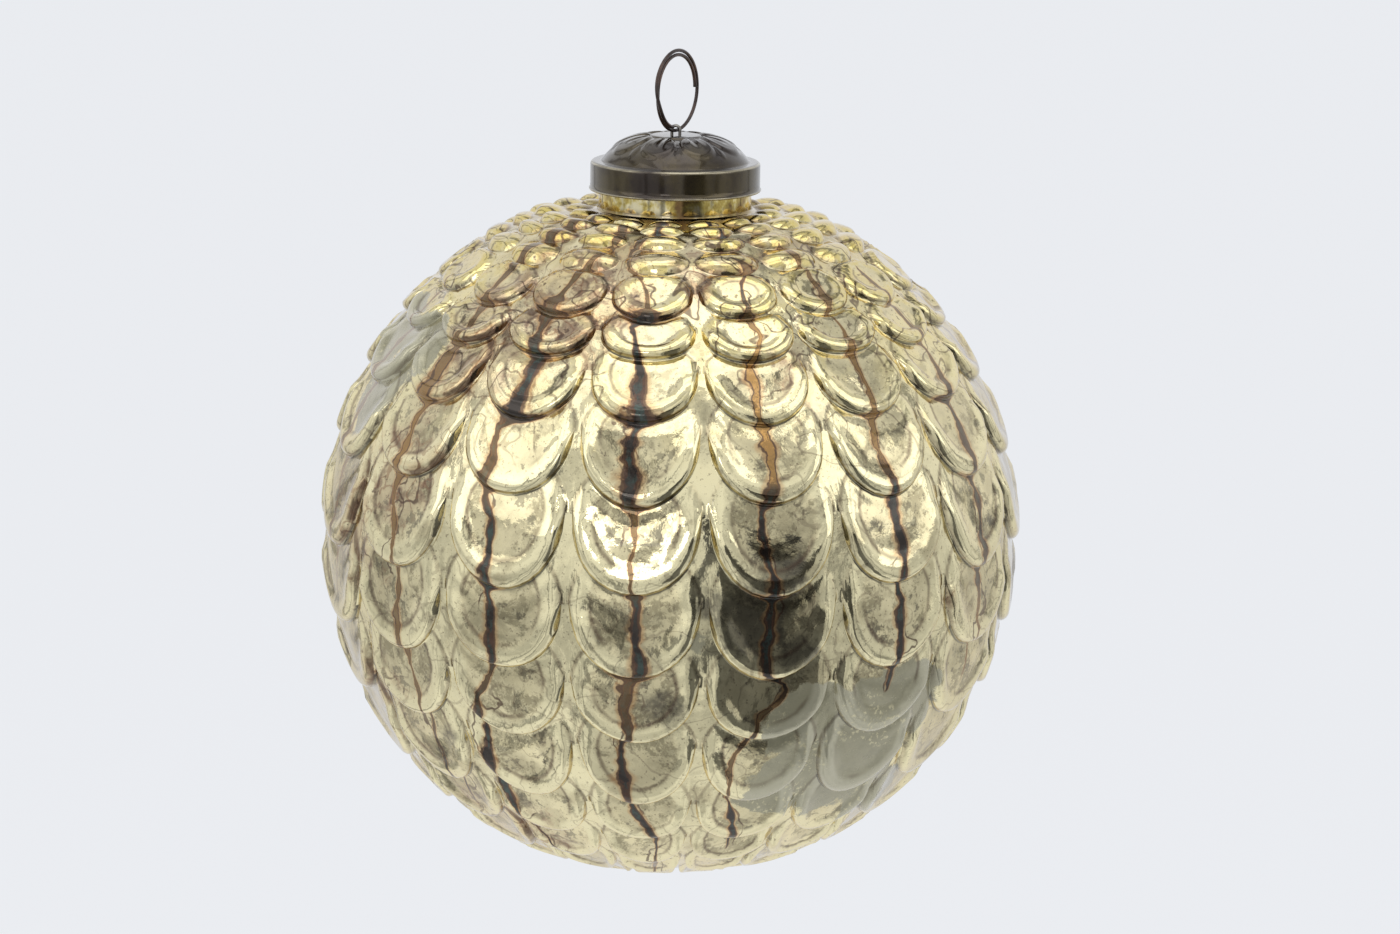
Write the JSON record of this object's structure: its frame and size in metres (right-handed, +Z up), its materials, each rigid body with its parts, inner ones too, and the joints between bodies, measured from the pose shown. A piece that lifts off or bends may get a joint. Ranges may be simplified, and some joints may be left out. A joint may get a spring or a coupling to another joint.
{
  "type": "christmas bauble",
  "caption": "Large mirror-lined glass ball with columns of overlapping scallops, a pressed metal cap and a wire ring that it hangs and swings from.",
  "frame": {"origin": "where a cord bears on the inside of the hanging ring's top, at the middle of the wire's width", "axes": "+Z up along the bauble's axis as it hangs, X along the hinge where the ring lies in the cap's eye, Y across the ring"},
  "size_m": [0.1994, 0.1994, 0.2343],
  "materials": {
    "gold_glass": "aged gold mirror lining behind clear blown glass",
    "cap_metal": "dark bronze lacquer, semi-gloss",
    "staple_wire": "drawn spring wire, slightly tarnished",
    "ring_wire": "dark brown lacquered wire"
  },
  "bodies": {
    "ring": {"hang_ring": "ring_wire"},
    "bauble": {"glass_bauble": "gold_glass", "cap": "cap_metal", "wire_staple": "staple_wire"}
  },
  "joints": [
    {"name": "ring_swing", "type": "hinge", "parent": "ring", "child": "bauble", "pos_m": [0, 0, -0.02085], "axis": [1, 0, 0], "range_deg": [-73, 98]}
  ]
}
